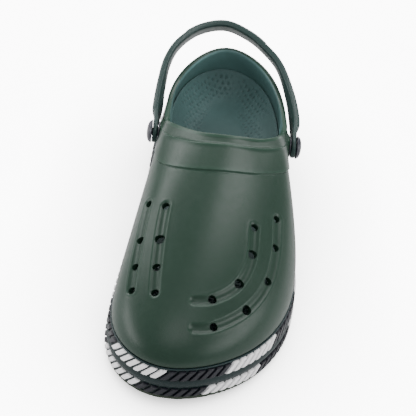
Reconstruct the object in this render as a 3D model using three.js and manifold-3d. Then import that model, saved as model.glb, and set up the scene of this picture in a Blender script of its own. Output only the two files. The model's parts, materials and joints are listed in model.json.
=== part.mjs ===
// Rubber garden clog for the left foot: a moulded foam upper on a banded sole, with a heel strap that
// swings on two rivets. Millimetres, +Z up, toe towards -Y, inner (big toe) side towards -X. The origin
// is on the ground under the middle of the whole clog's box.
import * as THREE from "three";
import { mergeVertices } from "three/addons/utils/BufferGeometryUtils.js";
import Module from "manifold-3d";

const wasm = await Module();
wasm.setup();

// ---------- driving dimensions ----------
const GAP = 0.3; // clearance between touching pieces
const WALL = 4.5; // foam wall of the upper
const SOLE_HEIGHT = 29; // ground line to the feather line, where the upper meets the sole
const OUTSOLE = 3.2; // thickness of the outsole
const FOOTBED = 4; // thickness of the footbed at its middle
const FOOTBED_CUP = 5; // how far the footbed's edge stands above its middle under the toes
const HEEL_CUP = 9; // how much higher that edge stands round the heel
const CUP_EDGE = 1.5; // thickness of the cup's edge
const TOE_SPRING = 8; // lift of the sole's underside at the toe
const TOE_BEND = -68; // where that lift starts
const HEEL_LIFT = 2; // lift of the underside at the back of the heel
const HEEL_BEND = 112;
const TAPER = 1; // the sole's side leans in this far towards its top
const FEATHER = 0.6; // the upper's foot stands this far inside the sole's upper edge
const BASE_WIDTH = 8; // width of the upper's foot on the midsole

// Two channels run round the midsole's side, and hold the coloured bar strips.
const CHANNELS = [
  { name: "lower", low: 3.9, high: 11.5 },
  { name: "upper", low: 18.4, high: 27.2 },
];
const CHANNEL_DEPTH = 1.8;
const STRIP_PROUD = 1.2; // how far a bar strip stands out of the midsole's side
const STRIP_BED = 0.5; // glue line behind a strip, which also takes up the facets of the bend
const BLOCKS = 16; // strips round the shoe, white and navy in turn
const BLOCK_GAP = 1.2;
const FIRST_BLOCK = 0.017; // where the first white strip of the upper row starts, as a share of the girth
const LOWER_SHIFT = 0.022; // the lower row runs this share of the girth ahead of the upper one
const BAR_LEAN = 0.8; // sideways shift of a strip's top over its height

// The heel strap turns about the line through both rivets.
const PIVOT = { y: 46, z: 58 };
const STRAP_REST = 12; // degrees that the strap rises towards the heel at rest
const STRAP_THICK = 3.4;
const STRAP_WIDTH = 12.5;

// Degrees that the strap's upper edge leans inwards, by share of its length: the sides flare outwards
// and the back leans towards the wearer's heel.
const STRAP_LEAN = [
  [0, 0], [0.05, 0], [0.11, -17], [0.18, -12], [0.26, -4], [0.36, 11], [0.5, 20],
  [0.64, 17], [0.74, 6], [0.82, -4], [0.89, -10], [0.95, 0], [1, 0],
];
const SHAFT_R = 2.6;
const HEAD_R = 7.8;
const HEAD_HEIGHT = 3.6;
const WASHER_R = 7;
const WASHER_THICK = 0.8;
const BOSS_R = 7.6; // flat pad on the upper that the washer bears on
const CAP_R = 6.5;
const CAP_THICK = 2.4;

const COLUMNS = 80; // facets round the shoe

// Stations round the shoe, from the toe past the inner side to the heel and back along the outer side.
// Each one holds the sole's outline, the collar's rim, and two points between them that shape the upper:
// belly and crest are a share of the way from the feather line to the rim, and a height.
const STATIONS = [
  { outline: [-17, -149], rim: [4, 11, 91], belly: [-0.02, 58], crest: [0.6, 84] }, // toe
  { outline: [-47, -138], rim: [-8, 12, 90], belly: [-0.02, 57], crest: [0.6, 83] },
  { outline: [-62, -106], rim: [-20, 17, 86.5], belly: [-0.03, 56], crest: [0.6, 82] },
  { outline: [-59.2, -60], rim: [-31, 27, 81], belly: [-0.05, 54], crest: [0.56, 79] }, // inner ball
  { outline: [-51.6, -6], rim: [-38, 39, 74], belly: [-0.05, 50], crest: [0.5, 74] },
  { outline: [-46.3, 42], rim: [-39.5, 55, 67], belly: [0.15, 42], crest: [0.75, 57] }, // inner ear
  { outline: [-42.7, 92], rim: [-38, 88, 61], belly: [0.1, 40], crest: [0.8, 51] },
  { outline: [-28, 130], rim: [-25, 122, 61], belly: [0.1, 40], crest: [0.8, 51] },
  { outline: [2, 143], rim: [1, 140, 63], belly: [0.1, 40], crest: [0.8, 51] }, // heel
  { outline: [31, 130], rim: [29, 123, 61], belly: [0.1, 40], crest: [0.8, 51] },
  { outline: [46, 92], rim: [42, 88, 60.5], belly: [0.1, 40], crest: [0.8, 51] },
  { outline: [50.2, 42], rim: [43.3, 56, 66], belly: [0.15, 42], crest: [0.7, 57] }, // outer ear
  { outline: [51.6, -6], rim: [40, 41, 72.5], belly: [-0.05, 50], crest: [0.5, 73] },
  { outline: [56.5, -48], rim: [35.5, 28, 80], belly: [-0.05, 54], crest: [0.56, 79] }, // outer ball
  { outline: [48.9, -92], rim: [25, 17, 86], belly: [-0.03, 56], crest: [0.6, 82] },
  { outline: [22, -130], rim: [15, 12.5, 89.5], belly: [-0.02, 57], crest: [0.6, 83] },
];

// Rows of vent holes over the toes. Each row runs through its points, given as a station and a share of
// the way up from the feather line to the rim, and holds holes of the given radii, which stand closer
// together towards the row's far end where crowd is under 1.
const VENTS = [
  { radii: [2.6, 3.4, 2.7, 2.6], crowd: 0.86, path: [[1.65, 0.66], [1.2, 0.5], [0.9, 0.38]] },
  { radii: [2.4, 2.7, 2.5, 2.5], crowd: 0.75, path: [[2.53, 0.58], [1.95, 0.44], [1.57, 0.31]] },
  {
    radii: [2.5, 3.1, 3.3, 2.8],
    crowd: 1.14,
    path: [[-1.25, 0.62], [-1.15, 0.5], [-0.85, 0.42], [-0.4, 0.39]],
  },
  {
    radii: [2.4, 2.6, 2.8, 3.2, 2.6],
    crowd: 1.1,
    path: [[-2.05, 0.59], [-1.85, 0.46], [-1.55, 0.36], [-1.1, 0.3], [-0.5, 0.27]],
  },
];

const MATERIALS = {
  upper: material(0x4d6455, 0.42),
  footbed: material(0x3a4f4d, 0.6),
  midsole: material(0x2f4644, 0.5),
  outsole: material(0x465a4b, 0.7),
  strap: material(0x4f6660, 0.42),
  rivet: material(0x37364a, 0.35),
  white: material(0xf0ecf4, 0.5),
  navy: material(0x33333f, 0.5),
};

const clog = new THREE.Group();

function material(color, roughness) {
  return new THREE.MeshStandardMaterial({ color, roughness, metalness: 0 });
}

function addMesh(name, geometry, materialName) {
  const mesh = new THREE.Mesh(geometry, MATERIALS[materialName]);
  mesh.name = name;
  clog.add(mesh);
  return mesh;
}

// ---------- curves ----------
/** Closed smooth curve through points (a periodic cubic B-spline), read at a station number. */
function loopThrough(points) {
  const n = points.length;
  let controls = points.map((p) => [...p]);
  const settle = (p, i) =>
    p.map((x, k) => x + points[i][k] - (controls.at(i - 1)[k] + 4 * x + controls[(i + 1) % n][k]) / 6);
  for (let pass = 0; pass < 40; pass++) controls = controls.map(settle);
  return (station) => {
    const i = Math.floor(station);
    const f = station - i;
    const weights = [(1 - f) ** 3, 3 * f ** 3 - 6 * f ** 2 + 4, -3 * f ** 3 + 3 * f ** 2 + 3 * f + 1, f ** 3];
    const point = points[0].map(() => 0);
    weights.forEach((w, k) => {
      const control = controls[(((i + k - 1) % n) + n) % n];
      control.forEach((x, axis) => (point[axis] += (w * x) / 6));
    });
    return point;
  };
}

/** Height of the sole's underside above the ground at y: flat, with a lifted toe and heel. */
function ground(y) {
  const toe = Math.max(0, (TOE_BEND - y) / (Math.abs(TOE_BEND) + 7));
  const heel = Math.max(0, (y - HEEL_BEND) / 32);
  return TOE_SPRING * toe ** 2 + HEEL_LIFT * heel ** 2;
}

const outline = loopThrough(STATIONS.map((s) => s.outline));

/** Point of the sole's edge at a station, moved inwards by inset. */
function edge(station, inset) {
  const step = 0.01;
  const [x, y] = outline(station);
  const [ax, ay] = outline(station - step);
  const [bx, by] = outline(station + step);
  const length = Math.hypot(bx - ax, by - ay);
  return [x + (inset * (by - ay)) / length, y - (inset * (bx - ax)) / length];
}

/** The same point at height above the underside, on the tapered side; the lift of toe and heel fades a
 *  little upwards. */
function solePoint(station, inset, height) {
  const [x, y] = edge(station, inset + TAPER * THREE.MathUtils.smoothstep(height, 12, 27));
  return new THREE.Vector3(x, y, height + ground(y) * (1 - height / 275));
}

// Table from a share of the girth to a station, so that strips of one length can be laid round the edge.
const GIRTH_STEPS = 960;
const girth = [0];
for (let i = 1; i <= GIRTH_STEPS; i++) {
  const [ax, ay] = outline(((i - 1) * STATIONS.length) / GIRTH_STEPS);
  const [bx, by] = outline((i * STATIONS.length) / GIRTH_STEPS);
  girth.push(girth[i - 1] + Math.hypot(bx - ax, by - ay));
}

function stationAt(share) {
  const turns = Math.floor(share);
  const target = (share - turns) * girth[GIRTH_STEPS];
  const i = Math.max(1, girth.findIndex((length) => length >= target));
  const f = (target - girth[i - 1]) / (girth[i] - girth[i - 1]);
  return ((turns * GIRTH_STEPS + i - 1 + f) * STATIONS.length) / GIRTH_STEPS;
}

// ---------- the upper's outer skin ----------
const feet = STATIONS.map((s, i) => solePoint(i, FEATHER, SOLE_HEIGHT).toArray());
const between = (key) =>
  STATIONS.map((s, i) => {
    const [share, height] = s[key];
    const mix = (axis) => feet[i][axis] + (s.rim[axis] - feet[i][axis]) * share;
    return [mix(0), mix(1), height];
  });
const LINES = [feet, between("belly"), between("crest"), STATIONS.map((s) => s.rim)].map(loopThrough);

/** Point of the skin at a station, a share up from the feather line to the rim: a Bezier arch. */
function skin(station, up) {
  const weights = [(1 - up) ** 3, 3 * up * (1 - up) ** 2, 3 * up ** 2 * (1 - up), up ** 3];
  const point = new THREE.Vector3();
  LINES.forEach((line, k) => point.addScaledVector(new THREE.Vector3(...line(station)), weights[k]));
  return point;
}

function skinNormal(station, up) {
  const step = 0.01;
  const around = skin(station + step, up).sub(skin(station - step, up));
  const rise = skin(station, Math.min(1, up + step)).sub(skin(station, Math.max(0, up - step)));
  return rise.cross(around).normalize();
}

const lining = (station, up) => skin(station, up).addScaledVector(skinNormal(station, up), -WALL);

// ---------- mesh helpers ----------
/** Closed surface through rings of points. Rings close on themselves; the ends join, or shut on a point. */
function surface(rings, { endsJoin = false } = {}) {
  const n = rings[0].length;
  const points = rings.flat();
  const faces = [];
  const quad = (a, b, c, d) => faces.push(a, b, c, a, c, d);
  const rows = endsJoin ? rings.length : rings.length - 1;
  for (let r = 0; r < rows; r++) {
    const s = (r + 1) % rings.length;
    for (let i = 0; i < n; i++) quad(r * n + i, r * n + ((i + 1) % n), s * n + ((i + 1) % n), s * n + i);
  }
  if (!endsJoin) {
    [[0, true], [rings.length - 1, false]].forEach(([r, flip]) => {
      const middle = rings[r].reduce((sum, p) => sum.add(p), new THREE.Vector3()).divideScalar(n);
      const tip = points.push(middle) - 1;
      for (let i = 0; i < n; i++) {
        const [a, b] = [r * n + i, r * n + ((i + 1) % n)];
        if (flip) faces.push(tip, b, a);
        else faces.push(tip, a, b);
      }
    });
  }
  return facingOut(new THREE.BufferGeometry().setFromPoints(points).setIndex(faces));
}

/** Turns a closed geometry's faces round where they point inwards. */
function facingOut(geometry) {
  const index = geometry.index.array;
  const at = (i) => new THREE.Vector3().fromBufferAttribute(geometry.attributes.position, index[i]);
  let volume = 0;
  for (let i = 0; i < index.length; i += 3) volume += at(i).dot(at(i + 1).cross(at(i + 2)));
  if (volume < 0) {
    for (let i = 0; i < index.length; i += 3) [index[i + 1], index[i + 2]] = [index[i + 2], index[i + 1]];
  }
  return geometry;
}

/** Turned piece: a closed profile of [radius, distance] pairs round an axis along X. */
function turned(profile, segments = 24) {
  const lathe = new THREE.LatheGeometry(profile.map(([r, x]) => new THREE.Vector2(r, x)), segments);
  lathe.rotateZ(-Math.PI / 2);
  return facingOut(merged(lathe));
}

function rod(radius, length, segments = 16) {
  return merged(new THREE.CylinderGeometry(radius, radius, length, segments));
}

function merged(geometry) {
  const bare = geometry.clone();
  ["normal", "uv"].forEach((name) => bare.deleteAttribute(name));
  return mergeVertices(bare, 1e-4);
}

function solid(geometry) {
  const vertProperties = geometry.attributes.position.array;
  const triVerts = new Uint32Array(geometry.index.array);
  return new wasm.Manifold(new wasm.Mesh({ numProp: 3, vertProperties, triVerts }));
}

function geometryOf(manifold) {
  const mesh = manifold.getMesh();
  const position = new THREE.BufferAttribute(mesh.vertProperties, 3);
  const index = new THREE.BufferAttribute(mesh.triVerts, 1);
  return new THREE.BufferGeometry().setAttribute("position", position).setIndex(index);
}

const columns = Array.from({ length: COLUMNS }, (_, i) => (i * STATIONS.length) / COLUMNS);
const ring = (pointAt) => columns.map(pointAt);

/** Rings that shrink a ring towards the middle of the sole, each at a height above the underside. */
function inwards(inset, steps) {
  const middle = new THREE.Vector2(-1, -4);
  return steps.map(([share, height]) =>
    ring((station) => {
      const flat = new THREE.Vector2(...edge(station, inset)).sub(middle).multiplyScalar(share).add(middle);
      return new THREE.Vector3(flat.x, flat.y, height + ground(flat.y) * (1 - height / 275));
    }),
  );
}

// ---------- rivet seats ----------
/** How far out (or in) the upper's wall reaches inside the rivet's pad on one side, -1 inner or 1 outer. */
function wallReach(side, wall, furthest) {
  let reach = furthest ? 0 : Infinity;
  for (let station = side < 0 ? 4 : 10; station <= (side < 0 ? 7 : 13); station += 0.05) {
    for (let up = 0; up <= 1; up += 0.02) {
      const p = wall(station, up);
      if (Math.hypot(p.y - PIVOT.y, p.z - PIVOT.z) > BOSS_R) continue;
      reach = furthest ? Math.max(reach, side * p.x) : Math.min(reach, side * p.x);
    }
  }
  return reach;
}

const SIDES = [
  { name: "inner", sign: -1 },
  { name: "outer", sign: 1 },
].map((side) => {
  const seat = wallReach(side.sign, skin, true); // outer face of the pad
  const back = wallReach(side.sign, lining, false); // inner face of the pad
  const strap = seat + GAP + WASHER_THICK + GAP; // inner face of the strap
  return { ...side, seat, back, strap, head: strap + STRAP_THICK + GAP };
});

/** A piece turned about the pivot line, made for the outer side and mirrored for the inner one. */
function onPivot(side, profile) {
  return turned(profile.map(([r, x]) => [r, side.sign * x])).translate(0, PIVOT.y, PIVOT.z);
}

// ---------- upper ----------
/** Station, share up and radius of every vent hole. */
function vents() {
  return VENTS.flatMap(({ radii, crowd, path }) => {
    const points = path.map(([station, up]) => new THREE.Vector3(station, up * 4, 0));
    const curve = new THREE.CatmullRomCurve3(points);
    return radii.map((radius, i) => {
      const p = curve.getPointAt((i / (radii.length - 1)) ** crowd);
      return [p.x, p.y / 4, radius];
    });
  });
}

function upperShell() {
  const outer = [0, 0.12, 0.25, 0.38, 0.5, 0.62, 0.74, 0.86, 0.95, 1];
  const rings = outer.map((up) => ring((station) => skin(station, up)));
  const crown = (station) => {
    const rise = skin(station, 1).sub(skin(station, 0.98)).normalize();
    return skin(station, 1).addScaledVector(skinNormal(station, 1), -WALL / 2).addScaledVector(rise, 1.4);
  };
  rings.push(ring(crown));
  for (const up of [1, 0.9, 0.75, 0.6, 0.45, 0.3, 0.14, 0.06]) {
    rings.push(ring((station) => lining(station, up)));
  }
  rings.push(ring((station) => solePoint(station, FEATHER + BASE_WIDTH, SOLE_HEIGHT)));
  return surface(rings, { endsJoin: true });
}

function upper() {
  let body = solid(upperShell());
  for (const side of SIDES) {
    const pad = onPivot(side, [[0, side.back], [BOSS_R, side.back], [BOSS_R, side.seat], [0, side.seat]]);
    body = body.add(solid(pad));
    const bore = rod(SHAFT_R + GAP, 40).rotateZ(Math.PI / 2);
    bore.translate(side.sign * side.seat, PIVOT.y, PIVOT.z);
    body = body.subtract(solid(bore));
  }
  for (const [station, up, radius] of vents()) {
    const upright = new THREE.Vector3(0, 1, 0);
    const turn = new THREE.Quaternion().setFromUnitVectors(upright, skinNormal(station, up));
    const hole = rod(radius, 4 * WALL, 10).applyQuaternion(turn);
    body = body.subtract(solid(hole.translate(...skin(station, up).toArray())));
  }
  addMesh("upper", geometryOf(body), "upper");
}

// ---------- sole ----------
function midsole() {
  const side = [[0.6, OUTSOLE + GAP]];
  for (const { low, high } of CHANNELS) {
    side.push([0, low], [CHANNEL_DEPTH, low], [CHANNEL_DEPTH, high], [0, high]);
  }
  side.push([0.5, SOLE_HEIGHT - GAP]);
  const bottom = inwards(0.6, [[0.01, OUTSOLE + GAP], [0.35, OUTSOLE + GAP], [0.7, OUTSOLE + GAP]]);
  const top = SOLE_HEIGHT - GAP;
  const wall = side.map(([inset, height]) => ring((station) => solePoint(station, inset, height)));
  const lid = inwards(FEATHER + BASE_WIDTH, [[1, top], [0.7, top], [0.35, top], [0.01, top]]);
  addMesh("midsole", surface([...bottom, ...wall, ...lid]), "midsole");
}

function outsole() {
  const sole = inwards(0.6, [[0.01, 0], [0.35, 0], [0.7, 0]]);
  const wall = [[2.2, 0], [0.2, 1.6], [0.6, OUTSOLE]].map(([inset, height]) =>
    ring((station) => solePoint(station, inset, height)),
  );
  const top = inwards(0.6, [[0.7, OUTSOLE], [0.35, OUTSOLE], [0.01, OUTSOLE]]);
  addMesh("outsole", surface([...sole, ...wall, ...top]), "outsole");
}

/** Height of the footbed's edge above the underside at y. */
const cupHeight = (y) =>
  SOLE_HEIGHT + FOOTBED + FOOTBED_CUP + HEEL_CUP * THREE.MathUtils.smoothstep(y, 10, 90);

/** Point on the lining at the footbed's edge, less drop, moved inwards by clear. */
function cupEdge(station, drop, clear) {
  let up = 0.06;
  const at = (share) => skin(station, share).addScaledVector(skinNormal(station, share), -WALL - clear);
  while (at(up).z < cupHeight(at(up).y) - drop + ground(at(up).y)) up += 0.005;
  return at(up);
}

function footbed() {
  const low = SOLE_HEIGHT;
  const high = SOLE_HEIGHT + FOOTBED;
  const inset = TAPER + FEATHER + BASE_WIDTH + GAP;
  const under = inwards(inset, [[0.01, low], [0.35, low], [0.7, low], [1, low]]);
  const side = [[5, 1], [CUP_EDGE, 0.6], [0, 0.6], [0, 0.6 + CUP_EDGE]].map(([drop, clear]) =>
    ring((station) => cupEdge(station, drop, clear)),
  );
  const bowl = [[0.84, 0.42], [0.7, 0.13], [0.5, 0], [0.25, 0], [0.01, 0]].map(([share, part]) =>
    ring((station) => {
      const [x, y] = edge(station, inset);
      const rise = (cupHeight(y) - high) * part;
      const height = high + rise + ground(y * share) * 0.9;
      return new THREE.Vector3(-1 + (x + 1) * share, -4 + (y + 4) * share, height);
    }),
  );
  addMesh("footbed", surface([...under, ...side, ...bowl]), "footbed");
}

/** One strip of coloured bars in a channel, from one share of the girth to another, with slanted ends.
 *  It is laid from its far end, so that the facets' diagonals cross the bend the short way. */
function barStrip(channel, from, to) {
  const steps = 6;
  const low = channel.low + GAP;
  const high = channel.high - GAP;
  const lean = (BAR_LEAN * (high - low)) / girth[GIRTH_STEPS];
  const rings = Array.from({ length: steps + 1 }, (_, i) => {
    const share = to - ((to - from) * i) / steps;
    const foot = stationAt(share);
    const head = stationAt(share - lean);
    const inside = CHANNEL_DEPTH - STRIP_BED;
    return [
      solePoint(foot, inside, low),
      solePoint(foot, -STRIP_PROUD, low),
      solePoint(head, -STRIP_PROUD, high),
      solePoint(head, inside, high),
    ];
  });
  return surface(rings);
}

function barStrips() {
  for (const channel of CHANNELS) {
    const start = FIRST_BLOCK + (channel.name === "lower" ? LOWER_SHIFT : 0);
    for (let i = 0; i < BLOCKS; i++) {
      const from = start + i / BLOCKS;
      const to = from + 1 / BLOCKS - BLOCK_GAP / girth[GIRTH_STEPS];
      const colour = i % 2 ? "navy" : "white";
      const number = String(Math.floor(i / 2) + 1);
      addMesh(`bars_${colour}_${channel.name}_${number}`, barStrip(channel, from, to), colour);
    }
  }
}

// ---------- heel strap and rivets ----------
/** Middle line of the strap from the inner rivet to the outer one, flat: x, and distance from the pivot. */
function strapLine() {
  const [inner, outer] = SIDES.map((side) => side.sign * (side.strap + STRAP_THICK / 2));
  const points = [
    [inner, -8],
    [inner, 8],
    [-44.8, 24],
    [-43.9, 42],
    [-41.5, 62],
    [-35, 79],
    [-21.5, 94],
    [-3.5, 100.5],
    [13.5, 94],
    [26, 83],
    [37, 68],
    [45, 43],
    [48.8, 22],
    [outer, 8],
    [outer, -8],
  ];
  return new THREE.CatmullRomCurve3(points.map(([x, reach]) => new THREE.Vector3(x, reach, 0)));
}

/** Lean of the strap at a share of its length, in radians. */
function strapLean(t) {
  const next = Math.max(1, STRAP_LEAN.findIndex(([share]) => share >= t));
  const [[a, from], [b, to]] = [STRAP_LEAN[next - 1], STRAP_LEAN[next]];
  return THREE.MathUtils.degToRad(from + ((to - from) * (t - a)) / (b - a));
}

function strap() {
  const line = strapLine();
  const steps = 44;
  const across = new THREE.Vector3(0, 0, 1);
  const rings = Array.from({ length: steps + 1 }, (_, i) => {
    const t = i / steps;
    const middle = line.getPointAt(t);
    const outwards = line.getTangentAt(t).cross(across).negate();
    const tilt = strapLean(t);
    const width = across.clone().multiplyScalar(Math.cos(tilt)).addScaledVector(outwards, -Math.sin(tilt));
    const depth = outwards.clone().multiplyScalar(Math.cos(tilt)).addScaledVector(across, Math.sin(tilt));
    const ends = Math.min(1, Math.sqrt(Math.sin(Math.PI * Math.min(t, 1 - t) * 22 + 0.35)) || 1);
    const half = (STRAP_WIDTH / 2) * (Math.min(t, 1 - t) < 0.022 ? ends : 1);
    const corner = (w, d) =>
      middle.clone().addScaledVector(width, w * half).addScaledVector(depth, (d * STRAP_THICK) / 2);
    return [corner(-0.8, -1), corner(-1, 0), corner(-0.8, 1), corner(0.8, 1), corner(1, 0), corner(0.8, -1)];
  });
  let band = solid(surface(rings));
  for (const side of SIDES) {
    const hole = rod(SHAFT_R + GAP, 12).rotateZ(Math.PI / 2);
    hole.translate(side.sign * (side.strap + STRAP_THICK / 2), 0, 0);
    band = band.subtract(solid(hole));
  }
  const mesh = addMesh("heel_strap", geometryOf(band), "strap");
  mesh.position.set(0, PIVOT.y, PIVOT.z);
  mesh.rotation.x = THREE.MathUtils.degToRad(STRAP_REST);
}

function rivets() {
  for (const side of SIDES) {
    const shaftEnd = side.back - 1.4;
    const dome = Array.from({ length: 6 }, (_, i) => {
      const angle = (Math.PI / 2) * (i / 5);
      return [HEAD_R * Math.cos(angle), side.head + 0.9 + (HEAD_HEIGHT - 0.9) * Math.sin(angle)];
    });
    dome[5][0] = 0;
    const head = [[0, shaftEnd], [SHAFT_R, shaftEnd], [SHAFT_R, side.head], [HEAD_R, side.head], ...dome];
    addMesh(`rivet_head_${side.name}`, onPivot(side, head), "rivet");
    const bore = SHAFT_R + GAP;
    const washer = [side.seat + GAP, side.seat + GAP + WASHER_THICK];
    const [from, to] = washer;
    const rim = [[bore, from], [WASHER_R, from], [WASHER_R, to], [bore, to], [bore, from]];
    addMesh(`rivet_washer_${side.name}`, onPivot(side, rim), "rivet");
    const face = side.back - GAP;
    const cap = [
      [0, shaftEnd - GAP],
      [bore, shaftEnd - GAP],
      [bore, face],
      [CAP_R, face],
      [CAP_R, face - CAP_THICK * 0.5],
      [CAP_R * 0.7, face - CAP_THICK],
      [0, face - CAP_THICK],
    ];
    addMesh(`rivet_cap_${side.name}`, onPivot(side, cap), "rivet");
  }
}

upper();
footbed();
midsole();
outsole();
barStrips();
strap();
rivets();

const box = new THREE.Box3().setFromObject(clog);
clog.position.set(-(box.min.x + box.max.x) / 2, -(box.min.y + box.max.y) / 2, -box.min.z);

export default clog;
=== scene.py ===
"""Rubber garden clog, left foot: the fine shapes and finishes that go round the clog's frame.

The file is laid out as an add-on. Every piece is worked out from a few curves round the shoe:
stations run from the toe past the inner side to the heel and back along the outer side, and a
share runs up from the feather line, where the upper meets the sole, to the collar's rim."""

import json
import math

import bpy
import numpy as np
from mathutils import Matrix, Vector


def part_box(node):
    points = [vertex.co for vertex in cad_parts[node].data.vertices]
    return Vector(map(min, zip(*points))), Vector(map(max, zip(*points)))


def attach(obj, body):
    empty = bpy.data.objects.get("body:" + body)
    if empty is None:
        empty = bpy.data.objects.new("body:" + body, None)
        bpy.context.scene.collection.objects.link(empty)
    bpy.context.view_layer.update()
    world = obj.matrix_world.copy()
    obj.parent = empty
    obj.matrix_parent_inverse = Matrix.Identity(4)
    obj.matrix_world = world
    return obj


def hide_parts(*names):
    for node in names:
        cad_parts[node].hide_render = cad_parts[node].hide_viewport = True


bl_info = {
    "name": "Garden clog",
    "version": (1, 0, 0),
    "blender": (4, 5, 0),
    "location": "3D View > Sidebar > Clog",
    "description": "Makes the fine pieces and finishes of a rubber garden clog",
    "category": "Mesh",
}

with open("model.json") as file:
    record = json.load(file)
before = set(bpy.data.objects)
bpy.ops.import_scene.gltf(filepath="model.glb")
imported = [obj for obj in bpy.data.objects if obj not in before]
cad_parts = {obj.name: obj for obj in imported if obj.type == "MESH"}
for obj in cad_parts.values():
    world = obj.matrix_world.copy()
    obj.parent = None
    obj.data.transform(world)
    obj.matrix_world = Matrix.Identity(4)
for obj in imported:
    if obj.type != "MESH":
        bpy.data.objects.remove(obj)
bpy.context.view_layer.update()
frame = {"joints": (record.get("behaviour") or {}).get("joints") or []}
MM = 0.001

# ---------- the shoe's own measures, in millimetres ----------
WALL = 4.5
SOLE_HEIGHT = 29.0
LIFT_FADE = 275.0  # height at which the toe's and the heel's lift would have faded away
OUTSOLE = 3.2
GAP = 0.3
TAPER = 1.0
FEATHER = 0.6
BASE_WIDTH = 8.0
FOOTBED = 4.0
FOOTBED_CUP = 5.0
HEEL_CUP = 9.0
CUP_EDGE = 1.5
TOE_SPRING, TOE_BEND = 8.0, -68.0
HEEL_LIFT, HEEL_BEND = 2.0, 112.0
PIVOT = np.array([0.0, 46.0, 58.0])
STRAP_REST = 12.0
STRAP_THICK = 3.4
STRAP_WIDTH = 12.5
TAB_R = 7.4
SWELL_START, SWELL_OUT, SWELL_IN, STRAP_CROWN = 21.5, 1.1, 0.15, 0.5
SHAFT_R = 2.6
HEAD_R = 7.8
HEAD_HEIGHT = 3.6
WASHER_R = 7.0
CAP_R = 6.5
CAP_THICK = 2.4
WASHER_PAD_R, CAP_PAD_R = 7.2, 7.0
DOME_START, CROWN_START, DOME_END = math.degrees(0.12), math.degrees(0.1), 90 - math.degrees(0.03)
SIDES = {-1: "inner", 1: "outer"}
CHANNELS = {"lower": (3.9, 11.5), "upper": (18.4, 27.2)}
STRIP_PROUD = 1.2
CHANNEL_DEPTH = 1.8
BLOCKS = 16
BARS_IN_BLOCK = 7
FIRST_BLOCK = 0.017
LOWER_SHIFT = 0.022
BAR_LEAN = 0.8

# Lean of the strap's upper edge inwards in degrees, by share of its length.
STRAP_LEAN = (
    (0, 0),
    (0.05, 0),
    (0.11, -17),
    (0.18, -12),
    (0.26, -4),
    (0.36, 11),
    (0.5, 20),
    (0.64, 17),
    (0.74, 6),
    (0.82, -4),
    (0.89, -10),
    (0.95, 0),
    (1, 0),
)

# Each station: the sole's outline x, y; the rim x, y, z; then for belly and crest the share of the
# way from feather line to rim, and the height.
STATIONS = np.array(
    [
        (-17, -149, 4, 11, 91, -0.02, 58, 0.6, 84),  # toe
        (-47, -138, -8, 12, 90, -0.02, 57, 0.6, 83),
        (-62, -106, -20, 17, 86.5, -0.03, 56, 0.6, 82),
        (-59.2, -60, -31, 27, 81, -0.05, 54, 0.56, 79),  # inner ball
        (-51.6, -6, -38, 39, 74, -0.05, 50, 0.5, 74),
        (-46.3, 42, -39.5, 55, 67, 0.15, 42, 0.75, 57),  # inner ear
        (-42.7, 92, -38, 88, 61, 0.1, 40, 0.8, 51),
        (-28, 130, -25, 122, 61, 0.1, 40, 0.8, 51),
        (2, 143, 1, 140, 63, 0.1, 40, 0.8, 51),  # heel
        (31, 130, 29, 123, 61, 0.1, 40, 0.8, 51),
        (46, 92, 42, 88, 60.5, 0.1, 40, 0.8, 51),
        (50.2, 42, 43.3, 56, 66, 0.15, 42, 0.7, 57),  # outer ear
        (51.6, -6, 40, 41, 72.5, -0.05, 50, 0.5, 73),
        (56.5, -48, 35.5, 28, 80, -0.05, 54, 0.56, 79),  # outer ball
        (48.9, -92, 25, 17, 86, -0.03, 56, 0.6, 82),
        (22, -130, 15, 12.5, 89.5, -0.02, 57, 0.6, 83),
    ]
)
TURN = len(STATIONS)

# Rows of vents: radii of the holes; the power that crowds them towards the row's far end when under 1;
# the row's path as station and share up; and where its channel runs out past the last hole.
VENTS = [
    ((2.6, 3.4, 2.7, 2.6), 0.86, ((1.65, 0.66), (1.2, 0.5), (0.9, 0.38)), None),
    ((2.4, 2.7, 2.5, 2.5), 0.75, ((2.53, 0.58), (1.95, 0.44), (1.57, 0.31)), None),
    (
        (2.5, 3.1, 3.3, 2.8),
        1.14,
        ((-1.25, 0.62), (-1.15, 0.5), (-0.85, 0.42), (-0.4, 0.39)),
        (-0.05, 0.39),
    ),
    (
        (2.4, 2.6, 2.8, 3.2, 2.6),
        1.1,
        ((-2.05, 0.59), (-1.85, 0.46), (-1.55, 0.36), (-1.1, 0.3), (-0.5, 0.27)),
        (-0.15, 0.275),
    ),
]

# The design frame has its origin between the rivets' feet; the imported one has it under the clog's box.
OFFSET = np.array(frame["joints"][0]["pos_m"]) / MM - PIVOT


# ---------- settings a user would change ----------
def length(name, description, default_mm):
    """Length setting: given in millimetres, kept in metres."""
    return bpy.props.FloatProperty(
        name=name, description=description, default=default_mm * MM, min=0.0, unit="LENGTH", precision=5
    )


def colour(name, description, default):
    """Colour setting as linear red, green and blue."""
    return bpy.props.FloatVectorProperty(
        name=name, description=description, default=default, min=0.0, max=1.0, subtype="COLOR", size=3
    )


def power(name, description, default):
    """Setting for the power of one light, in watts."""
    return bpy.props.FloatProperty(name=name, description=description, default=default, unit="POWER")


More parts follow.
